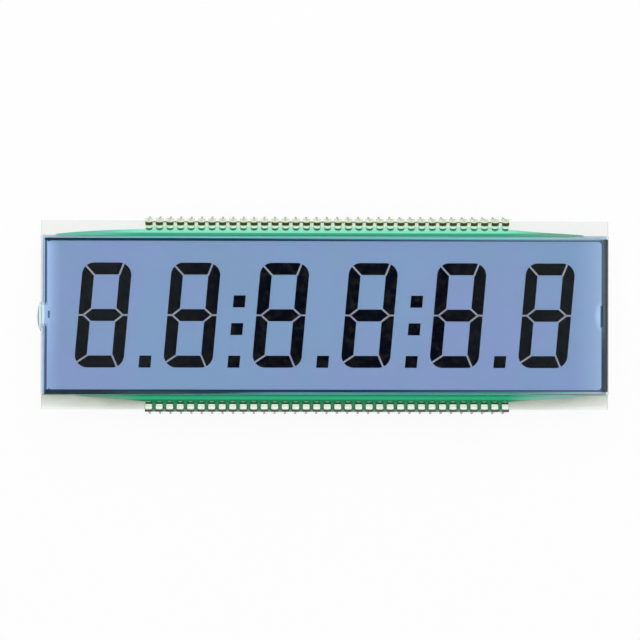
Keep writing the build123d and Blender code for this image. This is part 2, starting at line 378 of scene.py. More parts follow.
def glassFinish(name, node, veil, rearPlate):
    look = glassLook
    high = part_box(node)[1]
    glass = Finish(name)
    above = glass.patch(y=(-1, 1))
    upperFace = glass.patch(z=look["upperFace"])
    acrossX = glass.span(glass.outX, high.x - look["endDepth"] * mm, high.x - look["rimDepth"] * mm)
    acrossY = glass.span(glass.outY, high.y - look["rimDepth"] * mm, high.y)
    # the plug wets the left edge, so no bright rim shows there
    fromPlug = glass.away(glass.y, look["plugY"])
    dry = glass.most(glass.ramp(fromPlug, look["plugHalf"] - look["plugFade"], look["plugHalf"]),
                     glass.patch(x=(-1, 1)))
    rim = glass.most(glass.times(acrossX, dry), acrossY)
    wet = glass.times(glass.patch(outX=look["wetEnds"]), acrossY)     # resin lies against it
    rimTone = glass.mix(wet, look["rim"], glass.mix(above, look["wetBelow"], look["wetAbove"]))
    tone = glass.mix(glass.grain(9), look["face"], look["faceWarm"])
    cover = veil
    if rearPlate:
        # painted shadow: the panel's shadow on the floor, seen through the ledges, mottled and darker along
        # the lower one
        shadeMottle = glass.span(glass.grain(5, 3, (0.5, 1, 1)), 0.3, 0.7, 0.75, 1.1)
        lower = glass.times(glass.patch(y=look["ledgeShadowUp"], outX=look["ledgeShadowEnds"]), shadeMottle,
                            glass.patch(y=look["ledgeShadowBelow"]))
        ledgeShade = glass.sum("ADD", lower, glass.patch(y=look["ledgeShadowAbove"]))
        tone = glass.mix(glass.span(ledgeShade, 0, 0.2), tone, look["ledgeShadow"])
        cover = glass.sum("ADD", ledgeShade, veil)
        # resin has crept between the plates, outside the seal
        crept = glass.times(glass.patch(outY=look["creptFrom"]),
                            glass.patch(outY=look["creptTo"]),
                            glass.patch(outX=look["creptEnds"]), upperFace)
        toRight = glass.patch(x=look["toRight"])
        creptAbove = glass.mix(toRight, look["creptTop"], look["creptTopRight"])
        creptBelow = glass.mix(glass.patch(x=look["toLeft"]), look["creptBottomLeft"],
                               look["creptBottom"])
        creptBelow = glass.mix(toRight, creptBelow, look["creptBottomRight"])
        tone = glass.mix(crept, tone, glass.mix(above, creptBelow, creptAbove))
        cover = glass.most(cover, glass.times(crept, look["creptClear"]))
        # the left end is bluer towards the bottom
        end = glass.times(glass.patch(x=look["endX"], y=look["endUp"]), upperFace,
                          glass.patch(outY=look["endTo"]))
        tone = glass.mix(glass.span(end, 0, 0.1), tone, look["endTint"])
        cover = glass.most(cover, end)
    sheen = glass.span(glass.facing(0.3), 0.2, 1.0, 0.0, look["gloss"])
    sheen = glass.times(sheen, glass.most(dry, glass.patch(outX=(68.4, 68.5, 1, 0))))
    clear = glass.most(glass.sum("ADD", sheen, cover), glass.times(rim, look["rimAlpha"]))
    glass.set(colour=glass.mix(rim, tone, rimTone), ior=1.52,
              roughness=glass.span(glass.grain(3, 4), 0.3, 0.7, 0.03, 0.09),
              alpha=glass.times(clear, glass.letsThrough(look["shadow"])))
    return glass.material


dress("front_glass", glassFinish("front_glass_clear", "front_glass", glassLook["frontVeil"], False))
dress("rear_glass", glassFinish("rear_glass_clear", "rear_glass", glassLook["rearVeil"], True))
print("glass dressed")


# films

filmLook = {"front": (196, 208, 220), "frontGrey": (208, 216, 222), "frontAlpha": 0.001, "edgeOn": 0.3,
            "rear": (206, 226, 244), "rearDark": (190, 211, 230),
            "greenAbove": (132, 204, 190), "greenBelow": (96, 164, 144), "besideResin": (44, 64, 1, 0),
            "aboveY": (17, 18), "belowY": (-18, -17, 1, 0),
            "reflector": (214, 217, 219), "reflectorDark": (196, 200, 203)}

front = Finish("front_film")
filmClear = front.sum("ADD", front.span(front.facing(0.35), 0.2, 1.0, 0.0, filmLook["edgeOn"]),
                      filmLook["frontAlpha"])
front.set(colour=front.mix(front.grain(6), filmLook["front"], filmLook["frontGrey"]),
          roughness=front.span(front.grain(0.6, 4), 0.3, 0.7, 0.24, 0.34),
          alpha=front.times(filmClear, front.letsThrough(glassLook["shadow"])))
front.bump(front.grain(0.25, 3), 0.002, 0.3)
dress("front_polariser", front.material)

rear = Finish("rear_film")
nearResin = rear.patch(outX=filmLook["besideResin"])
rear.set(colour=rear.layered(
    rear.mix(rear.grain(12), filmLook["rear"], filmLook["rearDark"]),
    # light that the resin tints
    (rear.times(rear.patch(y=filmLook["aboveY"]), nearResin), filmLook["greenAbove"]),
    (rear.times(rear.patch(y=filmLook["belowY"]), nearResin), filmLook["greenBelow"]),
), roughness=0.4, specular=0.0)
dress("rear_polariser", rear.material)

foil = Finish("reflector_foil")
foil.set(colour=foil.mix(foil.grain(8, 3), filmLook["reflector"], filmLook["reflectorDark"]),
         roughness=foil.span(foil.grain(0.8, 4, (1, 6, 1)), 0.3, 0.7, 0.3, 0.42), metallic=0.55)
foil.bump(foil.grain(0.3, 3), 0.003, 0.3)
dress("reflector", foil.material)
print("films dressed")


# clear coatings: counter electrode and contact pads

coatingLook = {"tone": (206, 214, 206), "lilac": (216, 214, 222), "commonAlpha": 0.0005,
               "padAlpha": 0.05, "silver": (150, 152, 150), "silverPale": (190, 190, 186)}


def coatingFinish(name, clear):
    coating = Finish(name)
    coating.set(colour=coating.mix(coating.grain(4), coatingLook["tone"], coatingLook["lilac"]),
                alpha=coating.span(coating.grain(2), 0.3, 0.7, clear * 0.7, clear * 1.3), roughness=0.15)
    return coating.material


dress("common_electrode", coatingFinish("common_coating", coatingLook["commonAlpha"]))
padFinish = coatingFinish("pad_coating", coatingLook["padAlpha"])
dress("top_contact_pads", padFinish)
dress("bottom_contact_pads", padFinish)

silver = Finish("crossover_silver")
silver.set(colour=silver.mix(silver.grain(0.15), coatingLook["silver"], coatingLook["silverPale"]),
           metallic=0.6, roughness=0.5)
dress("crossover_dots", silver.material)


# seal, port post

sealLook = {"seal": (196, 208, 216), "sealDark": (176, 190, 200),
            "left": (196, 222, 250), "leftX": (-67.6, -67.2, 1, 0), "besideResin": (46, 66, 1, 0),
            "above": (150, 236, 244), "aboveY": (18, 18.4),
            "below": (74, 166, 146), "belowY": (-18.4, -18, 1, 0),
            "port": (158, 188, 230), "portY": 0.15, "portHalf": (2.8, 3.3, 1, 0),
            "portFrom": (-68.0, -67.9), "portTo": (-66.0, -65.0, 1, 0),
            "alpha": 0.9, "post": (70, 100, 146), "postPale": (96, 126, 168)}

seal = Finish("seal_resin_pale")
besideResin = seal.patch(outX=sealLook["besideResin"])
besidePort = seal.times(seal.ramp(seal.away(seal.y, sealLook["portY"]), *sealLook["portHalf"]),
                        seal.patch(x=sealLook["portFrom"]), seal.patch(x=sealLook["portTo"]))
seal.set(colour=seal.layered(
    seal.mix(seal.grain(0.5, 4), sealLook["seal"], sealLook["sealDark"]),
    # painted light: paler towards the left end, lit through the glass edge
    (seal.patch(x=sealLook["leftX"]), sealLook["left"]),
    # the green resin shows through it; above, it is painted lighter as well, to make up for the shade the
    # bead casts there
    (seal.times(seal.patch(y=sealLook["aboveY"]), besideResin), sealLook["above"]),
    (seal.times(seal.patch(y=sealLook["belowY"]), besideResin), sealLook["below"]),
    (besidePort, sealLook["port"]),
), roughness=0.5, specular=0.0, alpha=sealLook["alpha"])
dress("perimeter_seal", seal.material)
post = Finish("post_resin_dark")
post.set(colour=post.mix(post.grain(0.3, 3), sealLook["post"], sealLook["postPale"]),
         roughness=0.5, specular=0.0)
dress("fill_port_post", post.material)


# segments

segmentLook = {"dark": (2, 5, 21), "pale": (28, 33, 38), "middle": 4, "paleAway": (24, 50),
               "mottle": (29, 29, 27), "mottleSize": 1.8}

ink = Finish("dark_segment")
outward = ink.ramp(ink.away(ink.x, segmentLook["middle"]), *segmentLook["paleAway"])
mottle = ink.span(ink.grain(segmentLook["mottleSize"], 4), 0.46, 0.68)
ink.set(colour=ink.layered(segmentLook["dark"], (outward, segmentLook["pale"]),
                           (mottle, segmentLook["mottle"])), roughness=0.45, specular=0.0)
for number in range(1, 7):
    dress("digit_" + str(number) + "_segments", ink.material)
dress("decimal_points", ink.material)
dress("colons", ink.material)
print("segments dressed")


# liquid crystal field

fieldLook = {"bottom": 7.4508, "thickness": 0.0022,
             "base": (133, 163, 202), "lavender": (138, 159, 204), "green": (132, 163, 197),
             "leftGlow": (170, 200, 242), "leftX": (-67.1, -63.4, 1, 0), "leftY": (-15, 2, 0.6, 1),
             "rightGlow": (158, 186, 220), "rightX": (59, 67.1, 0, 1),
             "barGlow": (178, 212, 246), "barX": 67.1, "barY": -0.12, "barGlowX": 1.8, "barGlowY": 3.8}


def sheetFrom(node, name, bottom, thickness):
    # a merged copy of a CAD node's mesh, pressed flat within its own outline
    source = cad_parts[node]
    sheet = bpy.data.objects.new(name, source.data.copy())
    bpy.context.collection.objects.link(sheet)
    takeUp(sheet)
    editAll()
    bpy.ops.mesh.remove_doubles(threshold=0.000001)
    bpy.ops.mesh.normals_make_consistent(inside=False)
    bpy.ops.mesh.dissolve_limited(angle_limit=radians(1))
    bpy.ops.mesh.select_all(action="SELECT")
    low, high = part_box(node)
    middle = (low.z + high.z) / 2
    bpy.ops.transform.resize(value=(1, 1, thickness * mm / (high.z - low.z)),
                             center_override=(0, 0, middle))
    bpy.ops.transform.translate(value=(0, 0, (bottom + thickness / 2) * mm - middle))
    leaveEdit()
    return sheet


fluid = Finish("field_blue_grey")
# painted light: the field is lighter near both ends and round the bar on the right, lit through the glass
# edges
leftGlow = fluid.patch(x=fieldLook["leftX"], y=fieldLook["leftY"])
rightGlow = fluid.patch(x=fieldLook["rightX"])
barAcross = fluid.sum("DIVIDE", fluid.sum("SUBTRACT", fluid.x, fieldLook["barX"] * mm),
                      fieldLook["barGlowX"] * mm)
barAlong = fluid.sum("DIVIDE", fluid.sum("ADD", fluid.y, -fieldLook["barY"] * mm),
                     fieldLook["barGlowY"] * mm)
fromBar = fluid.sum("ADD", fluid.times(barAcross, barAcross), fluid.times(barAlong, barAlong))
fluid.set(colour=fluid.layered(
    fieldLook["base"],
    (fluid.span(fluid.grain(26, 3, (1, 0.8, 1)), 0.4, 0.62, smooth=True), fieldLook["lavender"]),
    (fluid.span(fluid.grain(18, 2, shift=3), 0.5, 0.7, 0, 0.8), fieldLook["green"]),
    (fluid.sum("POWER", leftGlow, 2.0), fieldLook["leftGlow"]),
    (fluid.sum("POWER", rightGlow, 2.0), fieldLook["rightGlow"]),
    (fluid.span(fromBar, 0.1, 1.0, 1, 0), fieldLook["barGlow"]),
), roughness=0.5, specular=0.0)
field = sheetFrom("liquid_crystal", "liquid_crystal_field", fieldLook["bottom"], fieldLook["thickness"])
finished(field, "liquid_crystal_field", fluid.material, "liquid_crystal_layer", "liquid_crystal")


# dark border, where the front film lies over no liquid crystal

borderLook = {"bottom": 7.5505, "thickness": 0.003, "spread": 1.002, "middleZ": 7.5,
              "portPlace": (-67.1, 0.15, 7.5), "portReach": (0.95, 3.1, 1.5),
              # colours, and where each fades in mm with its share at both places
              "navy": (32, 58, 84), "middle": (34, 64, 98), "middleX": (-40, -2),
              "mottle": (26, 62, 82), "mottleX": (0, 30, 1, 0.3),
              "navyRight": (86, 108, 140), "navyRightX": (10, 62),
              "blue": (72, 97, 136), "blueX": (-67.2, -66.9, 1, 0), "blueOutY": (18.0, 18.15, 1, 0),
              "right": (88, 104, 122), "rightLow": (60, 78, 100), "rightX": (67.0, 67.2),
              "rightUp": (-9, -3), "rightGrey": (78, 80, 78), "greyX": (67.7, 68.1),
              "bar": (46, 74, 96), "barY": -0.12, "barHalf": (2.52, 2.72, 1, 0),
              "besideBar": (98, 112, 122), "besideBarX": (67.45, 67.65),
              "wedge": (42, 58, 62), "wedgeRight": (54, 80, 86), "wedgeLeftX": (-56, -46, 1, 0),
              "wedgeY": (-18.4, -18.1, 1, 0), "wedgeX": (-48, -30, 1, 0),
              "lowWedgeY": (-18.7, -18.4, 1, 0), "lowWedgeX": (-40, -16, 1, 0),
              "overSeal": (106, 156, 174), "overSealRight": (134, 166, 184), "sealRightX": (36, 58),
              "sealY": (-18.75, -18.55, 1, 0), "sealX": (-26, -10), "sealEndX": (66.6, 67.2, 1, 0),
              "overSealTop": (132, 172, 186), "sealTopY": (18.2, 18.45), "sealTopX": (-20, 40),
              "leftRim": (196, 214, 234), "rimX": (-67.92, -67.76, 1, 0), "rimY": (-10, 2, 0.2, 1),
              "cavityGlow": (160, 188, 230), "glowFrom": (-67.34, -67.26),
              "glowTo": (-67.0, -66.9, 1, 0), "glowOutY": (17.9, 18.0, 1, 0)}

filmOutline = sheetFrom("front_polariser", "film_outline", 7.0, 1.0)
# a little larger than the film, so that none of it shows beside the border from above
filmOutline.scale = (borderLook["spread"], borderLook["spread"], 1)
settle(filmOutline)
cavityCutter = sheetFrom("liquid_crystal", "cavity_cutter", 6.0, 3.0)
clearSelection()
bpy.ops.mesh.primitive_cylinder_add(vertices=64, radius=mm, depth=2 * mm,
                                    location=[value * mm for value in borderLook["portPlace"]])
portCutter = bpy.context.object
portCutter.scale = borderLook["portReach"]
settle(portCutter)
for cutter in (cavityCutter, portCutter):
    cut = filmOutline.modifiers.new("opening", "BOOLEAN")
    cut.operation = "DIFFERENCE"
    cut.object = cutter
    cut.solver = "EXACT"
    applyAll(filmOutline)
    bpy.data.objects.remove(cutter)
takeUp(filmOutline)
editAll()
bpy.ops.transform.resize(value=(1, 1, borderLook["thickness"]),
                         center_override=(0, 0, borderLook["middleZ"] * mm))
borderRise = borderLook["bottom"] + borderLook["thickness"] / 2 - borderLook["middleZ"]
bpy.ops.transform.translate(value=(0, 0, borderRise * mm))
leaveEdit()


def borderTone(border, look):
    mottle = border.times(border.span(border.grain(7, 3), 0.4, 0.65), border.patch(x=look["mottleX"]))
    toRight = border.patch(x=look["rightX"])
    right = border.mix(border.patch(y=look["rightUp"]), look["rightLow"], look["right"])
    bar = border.times(toRight, border.ramp(border.away(border.y, look["barY"]), *look["barHalf"]))
    barTone = border.mix(border.patch(x=look["besideBarX"]), look["bar"], look["besideBar"])
    # along the lower edge: blackish green on the left, then the pale seal shows under the film
    wedge = border.mix(border.patch(x=look["wedgeLeftX"]), look["wedgeRight"], look["wedge"])
    overSeal = border.mix(border.patch(x=look["sealRightX"]), look["overSeal"], look["overSealRight"])
    sealEnd = border.patch(x=look["sealEndX"])
    glow = border.times(border.patch(x=look["glowFrom"]), border.patch(x=look["glowTo"]))
    return border.layered(
        border.mix(border.patch(x=look["middleX"]), look["navy"], look["middle"]),
        (mottle, look["mottle"]),
        (border.patch(x=look["navyRightX"]), look["navyRight"]),
        (border.patch(x=look["blueX"], outY=look["blueOutY"]), look["blue"]),
        (toRight, right),
        (bar, barTone),
        (border.patch(x=look["greyX"]), look["rightGrey"]),
        (border.patch(y=look["wedgeY"], x=look["wedgeX"]), wedge),
        (border.patch(y=look["lowWedgeY"], x=look["lowWedgeX"]), wedge),
        (border.times(border.patch(y=look["sealY"], x=look["sealX"]), sealEnd), overSeal),
        (border.times(border.patch(y=look["sealTopY"], x=look["sealTopX"]), sealEnd),
         look["overSealTop"]),
        # on the left the film's rim is drawn paler than the line beside the field, more so towards the top
        (border.patch(x=look["rimX"], y=look["rimY"]), look["leftRim"]),
        # the field's glow reaches a little under the film on the left
        (border.times(glow, border.patch(outY=look["glowOutY"])), look["cavityGlow"]),
    )


border = Finish("crossed_film_dark")
border.set(colour=borderTone(border, borderLook), roughness=0.5, specular=0.0)
finished(filmOutline, "crossed_film_border", border.material, "front_polarising_film")
print("field and border made")


# pale lines between the segments

gapLook = {"line": (162, 162, 170), "lineBlue": (148, 154, 172), "level": 7.4535, "thickness": 0.002,
           "slant": 5.05, "pitch": 21.5, "digits": 6,
           # start x and y, end x and y, and width, from the digit's middle and upright
           "runs": [(-3.0, 9.73, -5.06, 11.80, 0.40), (3.04, 9.7, 3.9, 12.45, 0.33),
                    (-3.0, -9.75, -5.38, -11.44, 0.40), (3.02, -9.71, 4.30, -12.28, 0.33),
                    (3.0, 1.5, 4.8, 0, 0.38), (3.0, -1.5, 4.8, 0, 0.38), (4.7, 0, 5.9, 0, 0.38),
                    (-3.0, 1.5, -4.8, 0, 0.38), (-3.0, -1.5, -4.8, 0, 0.38), (-4.7, 0, -5.9, 0, 0.38)]}

lines = []
lean = tan(radians(gapLook["slant"]))
for x1, y1, x2, y2, width in gapLook["runs"]:
    start = Vector((x1 + lean * y1, y1, 0))
    end = Vector((x2 + lean * y2, y2, 0))
    run = end - start
    clearSelection()
    level = gapLook["level"] + gapLook["thickness"] / 2
    bpy.ops.mesh.primitive_cube_add(size=1, location=(*((start + end) / 2 * mm).xy, level * mm),
                                    rotation=(0, 0, atan2(run.y, run.x)))
    line = bpy.context.object
    line.scale = (run.length * mm, width * mm, gapLook["thickness"] * mm)
    lines.append(line)
digitLines = joined(lines, "digit_lines")
copies = []
for index in range(gapLook["digits"]):
    shift = (index - (gapLook["digits"] - 1) / 2) * gapLook["pitch"]
    copies.append(copyOf(digitLines, "digit_lines_" + str(index), shift))
bpy.data.objects.remove(digitLines)
gapLines = joined(copies, "segment_gap_lines")
gap = Finish("segment_gap_pale")
gap.set(colour=gap.mix(gap.span(gap.grain(6, 3), 0.4, 0.6), gapLook["line"], gapLook["lineBlue"]),
        roughness=0.5, specular=0.0)
finished(gapLines, "segment_gap_lines", gap.material, "liquid_crystal_layer")


# end plug

plugLook = {"y": -0.4, "length": 7.0, "bulge": 0.89, "height": 1.8, "middle": 7.5, "panelHalf": 68.7,
            "tongue": (1.1, 4.5, 0.094), "tongueY": 0.15,
            "inside": (234, 254, 255), "insideBlue": (218, 242, 255),
            "rim": (132, 141, 149), "rimX": (-69.36, -69.06, 1, 0),
            "end": (140, 152, 162), "endAway": (2.9, 3.4),
            "deep": (164, 194, 230), "deepX": (-68.0, -67.9)}
panelHalf = plugLook["panelHalf"]

clearSelection()
bpy.ops.mesh.primitive_uv_sphere_add(segments=40, ring_count=20, radius=0.5,
                                     location=(-panelHalf * mm, plugLook["y"] * mm,
                                               plugLook["middle"] * mm))
plug = bpy.context.object
plug.scale = (2 * plugLook["bulge"] * mm, plugLook["length"] * mm, plugLook["height"] * mm)
settle(plug)
editAll()
bpy.ops.mesh.bisect(plane_co=(-panelHalf * mm, 0, 0), plane_no=(1, 0, 0), clear_outer=True, use_fill=True)
leaveEdit()
clearSelection()
reach, wide, thick = plugLook["tongue"]
bpy.ops.mesh.primitive_cube_add(size=1, location=((reach / 2 - panelHalf) * mm, plugLook["tongueY"] * mm,
                                                  plugLook["middle"] * mm))
tongue = bpy.context.object     # the resin that has crept into the port
tongue.scale = (reach * mm, wide * mm, thick * mm)
settle(tongue)
plug = joined([plug, tongue], "plug")
bpy.ops.object.shade_smooth_by_angle(angle=radians(40))
drop = Finish("plug_resin_clear")
drop.set(colour=drop.layered(
    drop.mix(drop.grain(0.8, 3), plugLook["inside"], plugLook["insideBlue"]),
    (drop.patch(x=plugLook["rimX"]), plugLook["rim"]),
    (drop.ramp(drop.away(drop.y, plugLook["y"]), *plugLook["endAway"]), plugLook["end"]),
    (drop.patch(x=plugLook["deepX"]), plugLook["deep"]),
), roughness=0.25, coat=0.5)
finished(plug, "fill_port_plug_bead", drop.material, "plug_resin", "fill_port_plug")


# clip-on pins

pinShape = {"perRow": 35, "pitch": 2.54, "rowShift": 0.5, "thickness": 0.3,
            "headWidth": 1.8, "valleyShare": 0.89, "jawShare": 0.875, "shankWidth": 0.5, "pointWidth": 0.25,
            "wallY": 23.1, "kneeZ": 5.0, "crownZ": 8.17, "crownY": 22.4,
            "valleyY": 21.68, "valleyZ": 7.42, "jawY": 20.78, "jawZ": 7.87,
            "shoulderHeight": 0.5, "pointLength": 0.6, "splay": 8.81,
            "windowLow": 6.35, "windowHigh": 7.65, "windowHalf": 0.5,
            "tongueHalf": 0.4, "tongueZ": 6.05, "tongueY": 21.35,
            "bend": 0.28, "bendSteps": 3, "jawRound": 0.3, "edge": 0.045, "edgeSteps": 2}
# where painted shade and highlights, partly flux, and resin on the jaw's tip mark a pin, the two rows
# differing as each faces the light: from the jaw's tip outwards, in mm from the middle of the glass
topStainAndShade = {"bright": (224, 236, 208), "warm": (208, 220, 184), "valley": (190, 226, 196),
            "tipEnd": 21.06, "tipBow": -0.25, "tip": (60, 134, 104),
            "low": 21.6, "high": 22.5, "creaseBow": -0.25, "crease": (62, 70, 30), "creaseHalf": 0.95,
            "flank": (202, 230, 202), "roundMiddle": 22.0, "roundHalf": 2.0, "markClear": 0.6,
            "outer": (176, 180, 156), "outerShare": 0.3, "tipHighlightClear": 0.0}
bottomStainAndShade = {"bright": (218, 232, 214), "warm": (208, 222, 204), "valley": (240, 255, 236),
               "tipEnd": 21.12, "tipBow": 0.0, "tip": (14, 126, 80),
               "low": 20.98, "high": 21.62, "creaseBow": 0.0, "crease": (10, 48, 26), "creaseHalf": 0.88,
               "flank": (92, 148, 112), "roundMiddle": 22.15, "roundHalf": 0.82, "markClear": 0.0,
               "outer": (84, 88, 76), "outerShare": 0.9, "tipHighlightClear": 1.0}
tipHighlightLook = {"tone": (124, 196, 160), "place": 20.8, "across": 0.55, "along": 0.19}
shankLook = {"dull": (164, 166, 150), "dullZ": (4.2, 5.0, 1, 0)}
# where the marks fade on every pin, in mm, with the share at both places
markLook = {"upperZ": (7.2, 7.4), "tipFade": 0.07, "creaseFade": 0.16, "creaseSide": 0.15,
            "valleyY": (21.7, 22.2, 1, 0), "headHalf": 0.86, "outerBow": 0.12,
            "outerFrom": (22.68, 22.82), "outerTo": (23.26, 23.36, 1, 0.35), "outerZ": (7.0, 7.6, 0),
            "dullHalf": (0.1, 0.5), "dullY": (22.6, 22.9), "shineZ": (7.0, 7.4, 0.75, 0.4),
            "coatedAndShadedShine": 0.15}


def makePin():
    # a sheet along the contact face, folded, pierced and thickened
    p = pinShape
    wall = p["crownZ"] - p["kneeZ"]
    clearSelection()
    bpy.ops.mesh.primitive_plane_add(size=1, location=(0, p["wallY"] * mm, (p["kneeZ"] + wall / 2) * mm),
                                     rotation=(radians(90), 0, 0))
    pin = bpy.context.object
    pin.scale = (p["headWidth"] * mm, wall * mm, 1)
    settle(pin)
    bpy.ops.object.mode_set(mode="EDIT")
    pickMode("EDGE")
    pick("edges", lambda middle, edge: near(middle.z, p["crownZ"]))
    push(p["crownY"] - p["wallY"], 0)
    push(p["valleyY"] - p["crownY"], p["valleyZ"] - p["crownZ"])
    bpy.ops.transform.resize(value=(p["valleyShare"], 1, 1), center_override=(0, 0, 0))
    push(p["jawY"] - p["valleyY"], p["jawZ"] - p["valleyZ"])
    bpy.ops.transform.resize(value=(p["jawShare"], 1, 1), center_override=(0, 0, 0))
    pick("edges", lambda middle, edge: near(middle.z, p["kneeZ"]))
    lean = tan(radians(p["splay"]))
    push(p["shoulderHeight"] * lean, -p["shoulderHeight"])
    bpy.ops.transform.resize(value=(p["shankWidth"] / p["headWidth"], 1, 1), center_override=(0, 0, 0))
    shank = p["kneeZ"] - p["shoulderHeight"] - p["pointLength"]
    push(shank * lean, -shank)
    push(p["pointLength"] * lean, -p["pointLength"])
    bpy.ops.transform.resize(value=(p["pointWidth"] / p["shankWidth"], 1, 1), center_override=(0, 0, 0))

    pickMode("VERT")
    pick("verts", lambda place, vert: near(place.y, p["jawY"]))
    bpy.ops.mesh.bevel(offset=p["jawRound"] * mm, segments=3, affect="VERTICES")
    pickMode("EDGE")

    # the window and its tongue
    for x in (-p["windowHalf"], -p["tongueHalf"], p["tongueHalf"], p["windowHalf"]):
        pick("faces", lambda middle, face: near(middle.y, p["wallY"]) and middle.z > p["kneeZ"])
        bpy.ops.mesh.bisect(plane_co=(x * mm, 0, 0), plane_no=(1, 0, 0))
    for z in (p["tongueZ"], p["windowLow"], p["windowHigh"]):
        pick("faces", lambda middle, face: near(middle.y, p["wallY"]) and middle.z > p["kneeZ"])
        bpy.ops.mesh.bisect(plane_co=(0, 0, z * mm), plane_no=(0, 0, 1))
    pickMode("FACE")
    pick("faces", lambda middle, face: near(middle.y, p["wallY"]) and abs(middle.x) < p["windowHalf"]
         and p["windowLow"] < middle.z < p["windowHigh"])
    bpy.ops.mesh.delete(type="FACE")
    pick("faces", lambda middle, face: near(middle.y, p["wallY"]) and abs(middle.x) < p["tongueHalf"]
         and p["tongueZ"] < middle.z < p["windowLow"])
    bpy.ops.mesh.delete(type="FACE")
    pickMode("EDGE")
    pick("edges", lambda middle, edge: near(middle.z, p["tongueZ"]) and near(middle.x, 0))
    push(p["tongueY"] - p["wallY"], 0)

    # rounded bends
    pick("edges", lambda middle, edge: (near(middle.y, p["wallY"]) and near(middle.z, p["crownZ"]))
         or (near(middle.y, p["crownY"]) and near(middle.z, p["crownZ"]))
         or (near(middle.y, p["valleyY"]) and near(middle.z, p["valleyZ"])))
    bpy.ops.mesh.bevel(offset=p["bend"] * mm, segments=p["bendSteps"], affect="EDGES")
    leaveEdit()

    thicken = pin.modifiers.new("strip", "SOLIDIFY")
    thicken.thickness = p["thickness"] * mm
    thicken.offset = -1     # the sheet is the contact face, the metal lies outside it
    thicken.use_even_offset = True
    soften = pin.modifiers.new("edges", "BEVEL")
    soften.width = p["edge"] * mm
    soften.segments = p["edgeSteps"]
    soften.limit_method = "ANGLE"
    soften.angle_limit = radians(40)
    applyAll(pin)
    low = [min(v.co[axis] for v in pin.data.vertices) / mm for axis in range(3)]
    high = [max(v.co[axis] for v in pin.data.vertices) / mm for axis in range(3)]
    print("pin box", [round(v, 3) for v in low], [round(v, 3) for v in high], len(pin.data.polygons),
          "faces")
    return pin


def pinRow(pin, name, turn):
    twins = []
    for index in range(pinShape["perRow"]):
        x = pinShape["rowShift"] + (index - (pinShape["perRow"] - 1) / 2) * pinShape["pitch"]
        twin = copyOf(pin, name + "_" + str(index), x)
        twin.rotation_euler = (0, 0, turn)
        twins.append(twin)
    row = joined(twins, name)
    bpy.ops.object.shade_smooth_by_angle(angle=radians(50))
    return row


def pinMetal(name, stainAndShade):
    # tinned strip with painted shade and dark reflection where it dips towards the glass, partly brown
    # flux, painted highlights and shade round the head, and resin on the jaw's tip
    metal = Finish(name)
    m = markLook
    fromMiddle = metal.outY
    aside = metal.fromNearest(metal.x, pinShape["rowShift"], pinShape["pitch"])
    curve = metal.sum("DIVIDE", metal.times(aside, aside), mm)

    def bowed(bow):
        # how far out, with marks that curve across the pin
        return metal.sum("ADD", fromMiddle, metal.times(curve, bow))

    def towards(value, reach, power):
        return metal.sum("POWER", metal.sum("DIVIDE", value, reach * mm), power)

    upper = metal.patch(z=m["upperZ"])
    tip = metal.ramp(bowed(stainAndShade["tipBow"]), stainAndShade["tipEnd"] - m["tipFade"], stainAndShade["tipEnd"] + m["tipFade"],
                     1, 0)
    tip = metal.times(tip, upper)
    # painted shade and dark reflection on the slope that dips towards the glass, partly flux
    along = bowed(stainAndShade["creaseBow"])
    crease = metal.sum("MINIMUM", metal.ramp(along, stainAndShade["low"], stainAndShade["low"] + m["creaseFade"]),
                       metal.ramp(along, stainAndShade["high"] - m["creaseFade"], stainAndShade["high"], 1, 0))
    creaseSide = metal.ramp(aside, stainAndShade["creaseHalf"] - m["creaseSide"], stainAndShade["creaseHalf"], 1, 0)
    crease = metal.times(crease, creaseSide, upper)
    # on the lower row, a painted highlight on the slope rising from the valley, which faces the light
    valley = metal.times(metal.patch(outY=m["valleyY"]), upper)
    # painted shade round the head's bright face, whose corners are round
    roundX = towards(aside, m["headHalf"], 4.0)
    roundY = towards(metal.away(fromMiddle, stainAndShade["roundMiddle"]), stainAndShade["roundHalf"], 4.0)
    flank = metal.times(metal.span(metal.sum("ADD", roundX, roundY), 0.5, 1.1), upper)
    # painted shade on the outer bend, which turns away from the light
    outer = metal.sum("MINIMUM", metal.ramp(bowed(m["outerBow"]), *m["outerFrom"]),
                      metal.patch(outY=m["outerTo"]))
    outer = metal.times(outer, metal.ramp(metal.z, *m["outerZ"], stainAndShade["outerShare"]))
    mark = metal.times(metal.ramp(aside, *m["dullHalf"], stainAndShade["markClear"], 0),
                       metal.patch(outY=m["dullY"]))
    # a painted highlight on the resin that coats the jaw's tip
    tipHighlightAlong = metal.sum("DIVIDE", metal.sum("SUBTRACT", fromMiddle, tipHighlightLook["place"] * mm),
                          tipHighlightLook["along"] * mm)
    tipHighlight = metal.sum("ADD", towards(aside, tipHighlightLook["across"], 2.0), metal.times(tipHighlightAlong, tipHighlightAlong))
    tipHighlight = metal.times(metal.span(tipHighlight, 0.4, 1.3, stainAndShade["tipHighlightClear"], 0), upper)
    shine = metal.times(metal.patch(z=m["shineZ"]),
                        metal.span(metal.most(tip, crease), 0, 1, 1.0, m["coatedAndShadedShine"]))
    metal.set(colour=metal.layered(
        metal.mix(metal.span(metal.grain(1.4, 4), 0.35, 0.65), stainAndShade["bright"], stainAndShade["warm"]),
        (metal.patch(z=shankLook["dullZ"]), shankLook["dull"]),
        (valley, stainAndShade["valley"]),
        (flank, stainAndShade["flank"]),
        (mark, shankLook["dull"]),
        (outer, stainAndShade["outer"]),
        (crease, stainAndShade["crease"]),
        (tip, stainAndShade["tip"]),
        (tipHighlight, tipHighlightLook["tone"]),
    ), metallic=shine, roughness=metal.span(metal.grain(0.3, 3), 0.3, 0.7, 0.3, 0.48))
    metal.bump(metal.grain(0.12, 3), 0.004, 0.4)
    return metal.material


